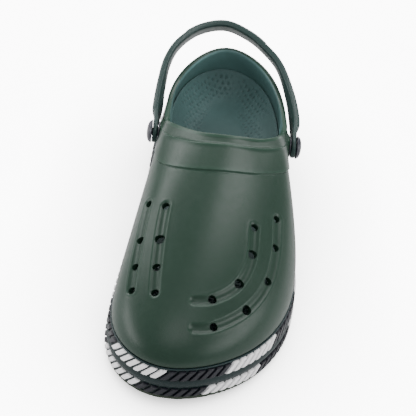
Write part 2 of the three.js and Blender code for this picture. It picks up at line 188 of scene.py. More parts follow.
class ClogSizes(bpy.types.PropertyGroup):
    """Sizes of the moulded details."""

    collar_step: length("Collar step", "How far the collar stands out over the vamp", 0.9)
    collar_bead: length("Collar bead", "Height of the bead line under the rim", 0.55)
    vent_channel_depth: length("Vent channel depth", "Depth of the channels between the vents", 1.5)
    vent_channel_width: length("Vent channel width", "Width of the channels between the vents", 7.0)
    dimple_radius: length("Dimple radius", "Radius of the footbed's dimples", 0.95)
    dimple_depth: length("Dimple depth", "Depth of the footbed's dimples", 0.9)
    dimple_pitch: length("Dimple pitch", "Distance between dimples", 3.7)
    bar_width: length("Bar width", "Width of one coloured bar round the shoe", 4.8)
    lug_pitch: length("Lug pitch", "Distance between the outsole's lugs", 5.4)
    lug_height: length("Lug height", "Height of the outsole's lugs", 1.9)
    strap_panel_depth: length("Strap panel height", "Height of the plain panel on the strap's back", 0.5)


class ClogColours(bpy.types.PropertyGroup):
    """Base colours of the finishes."""

    upper: colour("Upper", "Bottle green foam of the upper", (0.0110, 0.0305, 0.0195))
    # The footbed's colour is lighter than the upper's foam, painted light for the inside of the shoe; the
    # lining takes it too.
    footbed: colour("Footbed", "Darker foam of the footbed", (0.0400, 0.0790, 0.0770))
    midsole: colour("Midsole", "Dark teal foam of the sole's side", (0.0055, 0.0150, 0.0160))
    outsole: colour("Outsole", "Olive green rubber of the outsole", (0.0160, 0.0270, 0.0150))
    strap: colour("Strap", "Foam of the heel strap", (0.0165, 0.0350, 0.0320))
    rivet: colour("Rivets", "Dark plum blue plastic of the rivets", (0.0100, 0.0110, 0.0210))
    white: colour("White bars", "White rubber of the bars", (0.93, 0.91, 0.94))
    navy: colour("Navy bars", "Navy rubber of the bars", (0.0060, 0.0070, 0.0125))
    floor: colour("Floor", "Plain pale floor", (0.90, 0.90, 0.90))


class ClogLights(bpy.types.PropertyGroup):
    """Strengths of the studio lights."""

    key: power("Key", "Power of the large left light", 4.4)
    fill: power("Fill", "Power of the right light", 5.5)
    top: power("Top", "Power of the overhead light", 3.8)
    side: power("Side", "Power of the low left light", 5.5)
    back: power("Back", "Power of the wide back light", 9.0)
    front: power("Front", "Power of the high front light", 3.5)
    world: bpy.props.FloatProperty(
        name="World", description="Strength of the white surroundings", default=0.62
    )


# ---------- curves round the shoe ----------
def smooth(x):
    """Smooth step: 0 below 0, 1 above 1, and 3x^2 - 2x^3 between."""
    x = np.clip(x, 0.0, 1.0)
    return x * x * (3 - 2 * x)


def ridge(x, middle, width):
    """Bell curve of height 1 over a middle; it falls to 1/e at width to either side."""
    return np.exp(-(((x - middle) / width) ** 2))


def stations(count):
    """Evenly spaced stations once round the shoe."""
    return np.linspace(0, TURN, count, endpoint=False)


def from_toe(station):
    """Stations from the toe, negative on the outer side."""
    return (station + TURN / 2) % TURN - TURN / 2


def angles(count):
    """Evenly spaced angles once round a circle."""
    return np.linspace(0, 2 * math.pi, count, endpoint=False)


def lengths_along(points):
    """Length of a path up to each of its points."""
    return np.concatenate([[0], np.cumsum(np.linalg.norm(np.diff(points, axis=0), axis=1))])


def loop_through(points):
    """Closed smooth curve through rows of points: a periodic cubic B-spline whose control points are
    relaxed until it passes through each row. Returns a function of station numbers."""
    points = np.asarray(points, float)
    controls = points.copy()
    for _ in range(40):
        controls += points - (np.roll(controls, 1, 0) + 4 * controls + np.roll(controls, -1, 0)) / 6

    def at(station):
        """Points of the curve at station numbers."""
        station = np.asarray(station, float)
        i = np.floor(station).astype(int)
        f = (station - i)[..., None]
        weights = ((1 - f) ** 3, 3 * f**3 - 6 * f**2 + 4, -3 * f**3 + 3 * f**2 + 3 * f + 1, f**3)
        return sum(w * controls[(i + k - 1) % TURN] for k, w in enumerate(weights)) / 6

    return at


def ground(y):
    """Height of the sole's underside: flat, and lifted as a parabola at the toe and at the heel."""
    toe = np.maximum(0, (TOE_BEND - y) / (abs(TOE_BEND) + 7))
    heel = np.maximum(0, (y - HEEL_BEND) / 32)
    return TOE_SPRING * toe**2 + HEEL_LIFT * heel**2


outline = loop_through(STATIONS[:, 0:2])


def edge(station, inset):
    """Sole's edge at a station, moved inwards along the edge's normal by inset."""
    step = 0.01
    along = outline(station + step) - outline(station - step)
    along = along / np.linalg.norm(along, axis=-1, keepdims=True)
    inwards = np.stack([along[..., 1], -along[..., 0]], -1)
    return outline(station) + inwards * np.asarray(inset, float)[..., None]


def lifted(flat, height):
    """Points over flat x, y at height above the underside; the lift fades a little with height."""
    height = np.broadcast_to(np.asarray(height, float), flat.shape[:-1])
    level = height + ground(flat[..., 1]) * (1 - height / LIFT_FADE)
    return np.concatenate([flat, level[..., None]], -1)


def sole_point(station, inset, height):
    """Point on the sole's side at a station, inside the edge by inset; the side leans in upwards."""
    height = np.asarray(height, float)
    return lifted(edge(station, inset + TAPER * smooth((height - 12) / 15)), height)


STEPS_ROUND = np.linspace(0, TURN, 2401)
GIRTH_AT = lengths_along(outline(STEPS_ROUND))
GIRTH = GIRTH_AT[-1]


def station_at(distance):
    """Station at a distance round the sole's edge, from arc lengths summed along the outline."""
    turns = np.floor(distance / GIRTH)
    return turns * TURN + np.interp(distance - turns * GIRTH, GIRTH_AT, STEPS_ROUND)


def skin_lines():
    """Four closed curves that the upper's skin is stretched between: feather, belly, crest and rim."""
    feet = sole_point(np.arange(TURN), FEATHER, SOLE_HEIGHT)
    rims = STATIONS[:, 2:5]

    def between(share, height):
        """Points a share of the way from foot to rim in plan, at the given heights."""
        flat = feet[:, :2] + (rims[:, :2] - feet[:, :2]) * share[:, None]
        return np.column_stack([flat, height])

    belly = between(STATIONS[:, 5], STATIONS[:, 6])
    crest = between(STATIONS[:, 7], STATIONS[:, 8])
    return [loop_through(points) for points in (feet, belly, crest, rims)]


LINES = skin_lines()


def skin(station, up):
    """Upper's outer skin: a cubic Bezier arch from feather line to rim at every station."""
    up = np.asarray(up, float)[..., None]
    weights = ((1 - up) ** 3, 3 * up * (1 - up) ** 2, 3 * up**2 * (1 - up), up**3)
    return sum(w * line(station) for w, line in zip(weights, LINES))


def unit(vectors):
    """Vectors scaled to length 1."""
    return vectors / np.maximum(np.linalg.norm(vectors, axis=-1, keepdims=True), 1e-12)


def skin_frame(station, up):
    """Outward normal of the skin and its direction upwards, from small differences."""
    step = 0.01
    around = skin(station + step, up) - skin(station - step, up)
    rise = skin(station, np.minimum(1, up + step)) - skin(station, np.maximum(0, up - step))
    return unit(np.cross(rise, around)), unit(rise)


def curve_through(points, shares):
    """Open Catmull-Rom curve through points, read at shares of its length, or at that many even ones."""
    p = np.asarray(points, float)
    p = np.vstack([2 * p[0] - p[1], p, 2 * p[-1] - p[-2]])
    t = np.linspace(0, len(p) - 3 - 1e-9, 400)
    i, f = t.astype(int), (t % 1)[:, None]
    a, b, c, d = p[i], p[i + 1], p[i + 2], p[i + 3]
    bend, twist = 2 * a - 5 * b + 4 * c - d, 3 * b - a - 3 * c + d
    fine = 0.5 * (2 * b + (c - a) * f + bend * f**2 + twist * f**3)
    reach = lengths_along(fine)
    want = reach[-1] * (np.linspace(0, 1, shares) if np.ndim(shares) == 0 else np.asarray(shares))
    return np.column_stack([np.interp(want, reach, fine[:, k]) for k in range(fine.shape[1])])


# ---------- meshes ----------
def place(points):
    """Design millimetres to the frame's metres."""
    return (np.asarray(points, float).reshape(-1, 3) + OFFSET) * MM


def grid_faces(rows, columns, joined):
    """Quads between neighbouring rings of points. Each ring closes on itself, and if joined, the last
    ring also meets the first."""
    r, c = np.meshgrid(np.arange(rows if joined else rows - 1), np.arange(columns), indexing="ij")
    r2, c2 = (r + 1) % rows, (c + 1) % columns
    quads = np.stack([r * columns + c, r * columns + c2, r2 * columns + c2, r2 * columns + c], -1)
    return quads.reshape(-1, 4)


def solid_volume(points, faces):
    """Signed volume of closed quads, from the tetrahedra over each face's two triangles."""
    a, b, c, d = (points[faces[:, k]] for k in range(4))
    return np.einsum("ij,ij->", a, np.cross(b, c) + np.cross(c, d)) / 6


def outwards(points, faces):
    """The faces, turned round if together they look inwards."""
    return faces[:, ::-1] if solid_volume(points, faces) < 0 else faces


def shade_smooth(mesh, sharp):
    """Smooth shading except at edges over the sharp angle in degrees."""
    mesh.polygons.foreach_set("use_smooth", np.ones(len(mesh.polygons), bool))
    mesh.set_sharp_from_angle(angle=math.radians(sharp))


def mesh_object(name, points, faces, sharp=40.0, marks=None):
    """Object at the origin with the given quads and triangles. marks are values per point, kept as
    attributes that a finish can read."""
    mesh = bpy.data.meshes.new(name)
    mesh.from_pydata(points.tolist(), [], faces)
    for key, values in (marks or {}).items():
        data = mesh.attributes.new(key, "FLOAT", "POINT").data
        data.foreach_set("value", np.asarray(values, np.float32).ravel())
    shade_smooth(mesh, sharp)
    mesh.update()
    made = bpy.data.objects.new(name, mesh)
    bpy.context.scene.collection.objects.link(made)
    return made


def ring_solid(name, rings, joined=False, sharp=40.0, marks=None):
    """Closed piece through rings of points (rows, columns, 3). The first and last ring join, or each
    closes on its middle point. Faces are turned outwards by the sign of the volume."""
    rings = np.asarray(rings, float)
    rows, columns = rings.shape[:2]
    points = rings.reshape(-1, 3)
    quads = grid_faces(rows, columns, joined)
    way = -1 if solid_volume(points, quads) < 0 else 1
    faces = quads[:, ::way].tolist()
    if not joined:
        tips = np.stack([rings[0].mean(0), rings[-1].mean(0)])
        i = np.arange(columns)
        j = (i + 1) % columns
        first = np.stack([np.full(columns, len(points)), j, i], -1)
        last = np.stack([np.full(columns, len(points) + 1), i, j], -1)
        last[:, 1:] += (rows - 1) * columns
        points = np.vstack([points, tips])
        faces += first[:, ::way].tolist() + last[:, ::way].tolist()
        if marks:
            marks = {k: np.concatenate([np.ravel(v), [0.0, 0.0]]) for k, v in marks.items()}
    return mesh_object(name, place(points), faces, sharp, marks)


def cut(piece, cutters):
    """Cuts closed cutter objects out of a piece, applies the cut and removes the cutters."""
    for cutter in cutters:
        modifier = piece.modifiers.new("cut", "BOOLEAN")
        modifier.object = cutter
        modifier.operation, modifier.solver = "DIFFERENCE", "MANIFOLD"
    graph = bpy.context.evaluated_depsgraph_get()
    mesh = bpy.data.meshes.new_from_object(piece.evaluated_get(graph))
    mesh.name = piece.name
    piece.modifiers.clear()
    piece.data = mesh
    for cutter in cutters:
        bpy.data.meshes.remove(cutter.data)
    shade_smooth(mesh, 38)


def drill(name, middle, axis, radius, reach):
    """Closed cylinder of length reach along axis through middle, used as a cutter."""
    axis = unit(np.asarray(axis, float))
    side = unit(np.cross(axis, [0.3, 0.2, 0.9]))
    other = np.cross(axis, side)
    angle = angles(28)[:, None]
    circle = radius * (np.cos(angle) * side + np.sin(angle) * other)
    return ring_solid(name, [circle + middle + axis * k * reach / 2 for k in (-1, 1)])


def bores(out, reach):
    """Cutters for the two rivet shafts: out from the middle and reach long."""
    middles = [PIVOT + (side * out, 0, 0) for side in SIDES]
    return [drill("bore", middle, (1, 0, 0), SHAFT_R + GAP, reach) for middle in middles]


def inwards(inset, steps, columns):
    """Rings that shrink the sole's edge towards its middle, each at a height above the underside."""
    middle = np.array([-1.0, -4.0])
    flat = edge(stations(columns), inset) - middle
    return [lifted(flat * share + middle, height) for share, height in steps]


# ---------- finishes ----------
class Val:
    """A socket of a finish's nodes. Sums, products and powers of these add Math nodes."""

    def __init__(self, finish, socket):
        """Wraps a socket of the finish's node tree."""
        self.finish, self.socket = finish, socket

    def math(self, operation, *others, clamp=False):
        """Math node with this value first, then the others."""
        values = dict(enumerate((self, *others)))
        return self.finish.node("ShaderNodeMath", {"operation": operation, "use_clamp": clamp}, values)

    def __add__(self, other):
        """Sum."""
        return self.math("ADD", other)

    def __sub__(self, other):
        """Difference."""
        return self.math("SUBTRACT", other)

    def __rsub__(self, other):
        """Difference, with this value taken away."""
        return self.finish.node("ShaderNodeMath", {"operation": "SUBTRACT"}, {0: other, 1: self})

    def __mul__(self, other):
        """Product."""
        return self.math("MULTIPLY", other)

    def __pow__(self, other):
        """Power."""
        return self.math("POWER", other)

    __radd__, __rmul__ = __add__, __mul__

    def clamped(self):
        """This value kept between 0 and 1."""
        return self.math("ADD", 0.0, clamp=True)


class Finish:
    """One material's nodes round a Principled shader."""

    def __init__(self, name, uniform):
        """Starts a material whose shader has the given uniform values."""
        self.material = bpy.data.materials.new(name)
        self.material.use_nodes = True
        self.tree = self.material.node_tree
        self.tree.nodes.clear()
        self.shader = self.tree.nodes.new("ShaderNodeBsdfPrincipled")
        out = self.tree.nodes.new("ShaderNodeOutputMaterial")
        self.tree.links.new(self.shader.outputs[0], out.inputs[0])
        for key, value in uniform.items():
            self.shader.inputs[key].default_value = value
        self.place = self.node("ShaderNodeTexCoord", {}, {}, "Object")

    def node(self, kind, settings, values, output=0):
        """Adds a node with its settings, fills its sockets with values or links; returns an output."""
        made = self.tree.nodes.new(kind)
        for key, value in settings.items():
            setattr(made, key, value)
        for key, value in values.items():
            if isinstance(value, Val):
                self.tree.links.new(value.socket, made.inputs[key])
            else:
                made.inputs[key].default_value = value
        return Val(self, made.outputs[output])

    def noise(self, scale, detail=2.0, rough=0.5):
        """Noise over the piece, scale in waves per metre."""
        values = {"Vector": self.place, "Scale": scale, "Detail": detail, "Roughness": rough}
        return self.node("ShaderNodeTexNoise", {}, values, "Fac")

    def cells(self, scale):
        """Distance to the nearest of many scattered points, scale in points per metre."""
        return self.node("ShaderNodeTexVoronoi", {}, {"Vector": self.place, "Scale": scale}, "Distance")

    def mark(self, name):
        """Attribute that a piece's mesh carries."""
        return self.node("ShaderNodeAttribute", {"attribute_name": name}, {}, "Fac")

    def mix(self, factor, first, second):
        """Mix of two colours; a colour is a Val or three numbers."""
        values = {0: factor}
        for key, value in ((6, first), (7, second)):
            values[key] = value if isinstance(value, Val) else (*value, 1.0)
        return self.node("ShaderNodeMix", {"data_type": "RGBA"}, values, 2)

    def feed(self, **values):
        """Links values to the shader's sockets of the same names."""
        for key, value in values.items():
            self.tree.links.new(value.socket, self.shader.inputs[key.replace("_", " ").title()])

    def bump(self, height, strength, distance):
        """Feeds the shader's normal with a height map."""
        values = {"Height": height, "Strength": strength, "Distance": distance}
        self.feed(normal=self.node("ShaderNodeBump", {}, values))


def shade(rgb, factor):
    """Colour made lighter or darker by a factor."""
    return tuple(min(1.0, c * factor) for c in rgb)


def foam(name, base, rough, grain=1.0, inside=None, pits=False):
    """Moulded closed-cell foam: a fine skin grain over a slow waviness, slightly uneven colour, and
    places painted lighter and smoother where the piece's mesh marks them, both worn spots and painted
    highlights. Marked dimples are painted darker, a painted shade, and a marked inside takes a lighter
    colour of its own, painted light, that grows lighter still where the mark passes 1."""
    finish = Finish(name, {"IOR": 1.46, "Specular IOR Level": 0.3})
    slow = finish.noise(38.0, 3.0)
    cloud = finish.noise(260.0, 3.0, 0.6)
    fine = finish.noise(1900.0, 2.0, 0.7)
    pores = finish.cells(1500.0)
    tone = finish.mix(slow, shade(base, 0.86), shade(base, 1.12))
    tone = finish.mix(cloud * 0.28, tone, shade(base, 1.35))
    tone = finish.mix(((fine - 0.62) * 3.0).clamped() * 0.35, tone, shade(base, 0.55))
    roughness = rough + (cloud - 0.5) * 0.16 + (fine - 0.5) * 0.10
    # Painted shade: marked dimples are darkened.
    if pits:
        tone = finish.mix(finish.mark("pits") * 0.8, tone, shade(base, 0.3))
    # Painted light: the marked lining takes the footbed's lighter colour, and where the mark passes 1,
    # towards the heel, a lighter one still.
    if inside:
        depth = finish.mark("inside")
        lining = finish.mix(cloud, inside, shade(inside, 1.4))
        tone = finish.mix((depth * 0.9).clamped(), tone, lining)
        tone = finish.mix(((depth - 1.0) * 0.8).clamped(), tone, shade(inside, 2.6))
    # Marked places are painted lighter and smoother: worn spots, and painted highlights and painted light.
    painted_light_and_wear_mask = (finish.mark("wear") * (0.55 + cloud * 0.7)).clamped()
    tone = finish.mix(painted_light_and_wear_mask * 0.45, tone, shade(base, 2.4))
    finish.feed(base_color=tone, roughness=roughness - painted_light_and_wear_mask * 0.06)
    height = fine * 0.6 + pores * 0.5 + cloud * 0.35
    finish.bump(height, 0.32 * grain, 0.00012)
    return finish.material


def rubber(name, base, rough, dust=0.0):
    """Denser rubber: fine matt grain, small scuffs in one direction, and a little dust in the hollows."""
    finish = Finish(name, {"IOR": 1.5, "Specular IOR Level": 0.3})
    slow = finish.noise(60.0, 3.0)
    fine = finish.noise(2400.0, 2.0, 0.7)
    stretch = finish.node("ShaderNodeMapping", {}, {"Vector": finish.place, "Scale": (60.0, 9.0, 60.0)})
    scuff = finish.node("ShaderNodeTexNoise", {}, {"Vector": stretch, "Scale": 22.0, "Detail": 4.0}, "Fac")
    scuffs = ((scuff - 0.6) * 5.0).clamped()
    tone = finish.mix(slow, shade(base, 0.85), shade(base, 1.15))
    tone = finish.mix(scuffs * 0.18, tone, shade(base, 1.8))
    if dust:
        hollow = finish.mark("hollow")
        tone = finish.mix((hollow * dust * (0.4 + slow)).clamped(), tone, (0.16, 0.14, 0.11))
    finish.feed(base_color=tone, roughness=rough + (slow - 0.5) * 0.15 + scuffs * 0.08)
    finish.bump(fine * 0.7 + scuffs * 0.6, 0.3, 0.0001)
    return finish.material


def moulded_plastic(name, base, rough):
    """Hard moulded plastic with a satin spark-eroded skin and faint flow marks."""
    finish = Finish(name, {"IOR": 1.5, "Coat Weight": 0.12, "Coat Roughness": 0.2})
    fine = finish.noise(3200.0, 2.0, 0.7)
    flow = finish.noise(130.0, 3.0)
    tone = finish.mix(flow, shade(base, 0.85), shade(base, 1.25))
    tone = finish.mix(((fine - 0.6) * 3.0).clamped() * 0.3, tone, shade(base, 1.9))
    finish.feed(base_color=tone, roughness=rough + (flow - 0.5) * 0.12 + (fine - 0.5) * 0.1)
    finish.bump(fine, 0.22, 0.00008)
    return finish.material


FINISHES = {
    # The upper's lining takes the footbed's lighter colour as painted light inside the shoe.
    "upper": lambda n, c: foam(n, c, 0.36, inside=tuple(bpy.context.scene.clog_colours.footbed)),
    "footbed": lambda n, c: foam(n, c, 0.55, grain=1.4, pits=True),
    "midsole": lambda n, c: foam(n, c, 0.46),
    "outsole": lambda n, c: rubber(n, c, 0.62, dust=0.35),
    "strap": lambda n, c: foam(n, c, 0.38),
    "rivet": lambda n, c: moulded_plastic(n, c, 0.36),
    "white": lambda n, c: rubber(n, c, 0.48),
    "navy": lambda n, c: rubber(n, c, 0.44),
}


def finish_of(key):
    """The named finish, made once in the colour that the settings give it."""
    name = f"clog_{key}"
    made = bpy.data.materials.get(name)
    return made or FINISHES[key](name, tuple(getattr(bpy.context.scene.clog_colours, key)))


def deliver(piece, body, slot, finish, *nodes):
    """Gives a finished piece its finish and body, and hides the CAD nodes it stands for. The slot argument
    is not used.
    """
    piece.data.materials.clear()
    piece.data.materials.append(finish)
    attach(piece, body)
    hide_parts(*nodes)


# ---------- upper ----------
def crowded(breaks):
    """Positions from (from, to, count) spans set end to end, without repeats."""
    spans = [np.linspace(a, b, n, endpoint=False) for a, b, n in breaks]
    return np.concatenate([*spans, [breaks[-1][1]]])


def collar_lines(station):
    """Shares up of the collar's lower edge and of the bead under the rim: parabolas over the vamp that
    level off behind the ears."""
    square = from_toe(station) ** 2
    square = square / (1 + (square / 27) ** 4) ** 0.25
    return 0.855 - 0.012 * square, 0.957 - 0.0055 * square


def vent_rows():
    """For each row of vents: its holes as station, share up and radius, and its channel's line."""
    rows = []
    for radii, crowd, path, run_out in VENTS:
        scaled = np.array(path) * (1, 4)
        holes = curve_through(scaled, np.linspace(0, 1, len(radii)) ** crowd) / (1, 4)
        whole = np.vstack([scaled, np.array(run_out) * (1, 4)]) if run_out else scaled
        line = curve_through(whole, 90) / (1, 4)
        rows.append((np.column_stack([holes, radii]), line))
    return rows


def distance_to(points, line):
    """Least distance from each point to a densely sampled line."""
    flat = points.reshape(-1, 3)
    least = np.min([((flat - p) ** 2).sum(1) for p in line], axis=0)
    return np.sqrt(least).reshape(points.shape[:-1])


def rivet_face(part, side, way):
    """X of the face of a CAD rivet part, in design millimetres, on a side of the shoe. Way 1 is the face
    that looks outwards, and -1 the one that looks to the foot."""
    low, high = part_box(f"rivet_{part}_{SIDES[side]}")
    return (high if side == way else low)[0] / MM - OFFSET[0]


def flatten_pads(points, reach, part, way):
    """Pulls the wall flat within reach of the rivets, a gap off one face of a rivet part, and eases it
    back outside that pad."""
    far = np.hypot(points[..., 1] - PIVOT[1], points[..., 2] - PIVOT[2])
    pull = 1 - smooth((far - reach) / 3.0)
    for side in SIDES:
        near = pull * (np.sign(points[..., 0]) == side)
        face = rivet_face(part, side, way) + way * side * GAP
        points[..., 0] += (face - points[..., 0]) * near
    return points


def upper_rings(sizes):
    """Upper's closed section at every station: outer skin with its collar step, bead line and vent
    channels pushed along the normal, a half-round rim, and the lining one wall thickness inside."""
    t = np.linspace(-1, 1, 460, endpoint=False)
    station = 8 * (t - 0.45 / math.pi * np.sin(math.pi * t))
    low_line, bead_line = collar_lines(station)

    vamp = crowded([(0, 0.018, 4), (0.018, 0.2, 12), (0.2, 0.86, 92), (0.86, 0.985, 14)])
    step = np.array([0.99, 0.9945, 0.9965, 0.998, 1.0, 1.0035])
    share = [v * low_line for v in (*vamp, *step)]
    band = crowded([(0.04, 0.85, 12)])
    share += [low_line + v * (bead_line - low_line) for v in band]
    share += [bead_line + v for v in (-0.008, -0.004, 0.0, 0.004, 0.008)]
    share += [bead_line + v * (1 - bead_line) for v in np.linspace(0.35, 1, 9)]
    up = np.array(share)
    at = np.broadcast_to(station, up.shape)
    outer = skin(at, up)
    normal, rise = skin_frame(at, up)

    front = 1 - smooth((np.abs(from_toe(at)) - 4.9) / 0.7)
    over_step = smooth((up - low_line) / 0.0034 + 1) * front
    shade_line = ridge(up / low_line, 0.9945, 0.0022) * front
    bead = ridge(up, bead_line, 0.0065) * front
    push = sizes.collar_step / MM * over_step + sizes.collar_bead / MM * bead - 0.15 * shade_line
    push -= 0.5 * smooth((up - bead_line) / 0.012) * front * (1 - smooth((up - 0.985) / 0.015))

    half = sizes.vent_channel_width / MM / 2
    # Painted highlights: the bead line and the collar step's edge are marked to be painted lighter.
    wear = 0.9 * bead + 0.7 * ridge(up, low_line, 0.01) * front
    for _, line in vent_rows():
        path = skin(line[:, 0], line[:, 1])
        near = distance_to(outer, path)
        bowl = 1 - (near / half) ** 2
        push -= sizes.vent_channel_depth / MM * (bowl + np.sqrt(bowl**2 + 0.012)) / 2
        push += 0.15 * ridge(near, half + 0.7, 0.9)
        # Painted highlight along each channel's edge.
        wear += 0.35 * ridge(near, half, 0.7)
    push -= 0.6 * (1 - smooth(up / 0.012))
    outer = outer + normal * push[..., None]
    outer = flatten_pads(outer, WASHER_PAD_R, "washer", -1)

    turn = np.linspace(0, math.pi, 11)[1:-1, None, None]
    n, r = normal[-1], rise[-1]
    middle = outer[-1] - n * WALL / 2
    lip = middle + WALL / 2 * (np.cos(turn) * n + 0.8 * np.sin(turn) * r)

    inner_up = np.concatenate([np.linspace(1, 0.3, 16), np.linspace(0.24, 0.06, 6)])[:, None]
    inner_at, inner_up = np.broadcast_arrays(station[None], inner_up)
    lining = skin(inner_at, inner_up) - skin_frame(inner_at, inner_up)[0] * WALL
    lining = flatten_pads(lining, CAP_PAD_R, "cap", 1)
    foot = sole_point(station, FEATHER + BASE_WIDTH, SOLE_HEIGHT)[None]
    rings = np.concatenate([outer, lip, lining, foot])
    painted_light_and_wear_mask = np.zeros(rings.shape[:2])
    painted_light_and_wear_mask[: len(outer)] = wear
    # Painted highlight round the rim and its lip.
    painted_light_and_wear_mask[len(outer) - 3 : len(outer) + 6] = 0.9
    # Mark for the painted light on the lining: 1 on the lining, rising towards 2 at the heel, where it is
    # painted lighter still.
    inside = np.zeros(rings.shape[:2])
    inside[len(outer) + len(lip) - 3 :] = 1.0
    inside += inside * smooth((rings[..., 1] - 85) / 45)
    return rings, {"wear": painted_light_and_wear_mask, "inside": inside}


class CLOG_OT_upper(bpy.types.Operator):
    """Makes the moulded upper with its vent holes"""

    bl_idname = "clog.upper"
    bl_label = "Upper"

    def execute(self, context):
        rings, marks = upper_rings(context.scene.clog_sizes)
        shell = ring_solid("upper_shell", rings, joined=True, marks=marks)
        cutters = []
        for row, (holes, _) in enumerate(vent_rows()):
            at, up, radius = holes.T
            middle, axis = skin(at, up), skin_frame(at, up)[0]
            for i in range(len(radius)):
                cutters.append(drill(f"vent_{row}_{i}", middle[i], axis[i], radius[i], 5 * WALL))
        cutters += bores(43, 30)
        cut(shell, cutters)
        deliver(shell, "shoe", "upper_foam", finish_of("upper"), "upper")
        return {"FINISHED"}


# ---------- footbed ----------
def cup_height(y):
    """Height of the footbed's edge above the underside: low under the toes and high round the heel."""
    return SOLE_HEIGHT + FOOTBED + FOOTBED_CUP + HEEL_CUP * smooth((y - 10) / 80)


def cup_line():
    """Plan of the footbed's edge: where the lining, moved inwards by a gap, reaches the cup's height."""
    station, up = np.meshgrid(stations(900), np.linspace(0.06, 0.8, 120), indexing="ij")
    wall = skin(station, up) - skin_frame(station, up)[0] * (WALL + 0.35)
    reached = wall[..., 2] >= cup_height(wall[..., 1]) + ground(wall[..., 1])
    return wall[np.arange(len(wall)), reached.argmax(1), :2]


def across(border, rows, columns):
    """Grid inside a plan border: rows from toe to heel and columns from side to side, both crowded
    towards the border. Returns x and y."""
    x, y = border.T
    toe, heel = int(np.argmin(y)), int(np.argmax(y))
    inner = np.roll(np.arange(len(y)), -toe)[: (heel - toe) % len(y) + 1]
    outer = np.roll(np.arange(len(y)), -heel)[: (toe - heel) % len(y) + 1]
    t = np.linspace(0, 1, rows)
    row_y = y[toe] + (y[heel] - y[toe]) * (0.3 * (0.5 - 0.5 * np.cos(math.pi * t)) + 0.7 * t)
    left = np.interp(row_y, y[inner], x[inner])
    right = np.interp(row_y, y[outer][::-1], x[outer][::-1])
    t = np.linspace(-1, 1, columns)
    share = 0.35 * np.sin(math.pi / 2 * t) + 0.65 * t
    grid_x = (left + right)[:, None] / 2 + (right - left)[:, None] / 2 * share
    return grid_x, np.broadcast_to(row_y[:, None], grid_x.shape)


def border_distance(x, y, border):
    """Distance from plan points to a border, least over every third of its points."""
    least = np.min([(x - a) ** 2 + (y - b) ** 2 for a, b in border[::3]], axis=0)
    return np.sqrt(least)


def slab(name, x, y, top, bottom, marks):
    """Closed slab over a plan grid: a top height field, and a bottom one with a tenth of its columns."""
    picked = np.unique(np.concatenate([np.arange(0, x.shape[1], 10), [x.shape[1] - 1]]))[::-1]
    lower_side = np.stack([x, y, bottom], -1)[:, picked]
    rings = np.concatenate([np.stack([x, y, top], -1), lower_side], 1)
    blank = np.zeros(lower_side.shape[:2])
    marks = {key: np.concatenate([values, blank], 1) for key, values in marks.items()}
    return ring_solid(name, rings, marks=marks)


def dimples(x, y, rim, sizes):
    """Depth of the dimples: round dents on a staggered net, kept to a crescent round the heel's cup, a
    band down each side and the forefoot. Every dent has its own small shift and size."""
    pitch, radius = sizes.dimple_pitch / MM, sizes.dimple_radius / MM
    row = np.round(y / (pitch * 0.87))
    shift = (row % 2) * pitch / 2
    column = np.round((x - shift) / pitch)
    chance = np.sin(row * 12.9898 + column * 78.233) * 43758.5453
    chance = chance - np.floor(chance)
    near_x = column * pitch + shift + (chance - 0.5) * 0.5
    near_y = row * pitch * 0.87 + (chance * 7 % 1 - 0.5) * 0.5
    far = np.hypot(x - near_x, y - near_y)
    dent = np.clip(1 - (far / (radius * (0.8 + 0.4 * chance))) ** 2, 0, 1) ** 0.6
    heel = smooth((y - 92) / 14) * smooth((rim - 1.5) / 2) * (1 - smooth((rim - 13) / 5))
    heel = heel * (1 - 0.75 * ridge(x, 9, 4.5))
    bands = smooth((y - 14) / 12) * (1 - smooth((y - 100) / 12))
    bands = bands * smooth((rim - 8) / 3) * (1 - smooth((rim - 19) / 5))
    toes = smooth((-44 - y) / 8) * smooth((y + 122) / 8) * smooth((rim - 12) / 4)
    place_for = np.maximum(heel, 0.6 * np.maximum(bands, toes))
    return sizes.dimple_depth / MM * dent * place_for


class CLOG_OT_footbed(bpy.types.Operator):
    """Makes the dished foam footbed with its dimples"""

    bl_idname = "clog.footbed"
    bl_label = "Footbed"

    def execute(self, context):
        sizes = context.scene.clog_sizes
        border = cup_line()
        x, y = across(border, 470, 176)
        rim = border_distance(x, y, border)
        lift = ground(y)
        floor = SOLE_HEIGHT + FOOTBED
        reach = 14 + 11 * smooth((y - 10) / 80)
        bowl = np.clip(1 - rim / reach, 0, 1) ** 2.3
        arch = 2.6 * ridge(y, 18, 34) * smooth((-x - 8) / 22) * (1 - bowl)
        top = floor + lift * 0.885 + (cup_height(y) - floor) * bowl + arch
        pits = dimples(x, y, rim, sizes)
        top = top - 0.7 * (1 - smooth(rim / 1.0)) ** 2 - pits
        bottom = np.maximum(SOLE_HEIGHT + lift * 0.9 + 0.05, top - CUP_EDGE - 2.7 * smooth(rim / 3))
        # Painted light: lighter towards the heel, where the deep cup stays dark under the lamps; also
        # lighter in a band about 12 mm in from the edge.
        marks = {"wear": 0.25 * ridge(rim, 12, 6) + 0.9 * smooth((y - 72) / 45)}
        # Mark for the painted shade in the dimples.
        marks["pits"] = np.clip(pits / (sizes.dimple_depth / MM), 0, 1)
        bed = slab("footbed_pad", x, y, top, bottom, marks)
        deliver(bed, "shoe", "footbed_foam", finish_of("footbed"), "footbed")
        return {"FINISHED"}


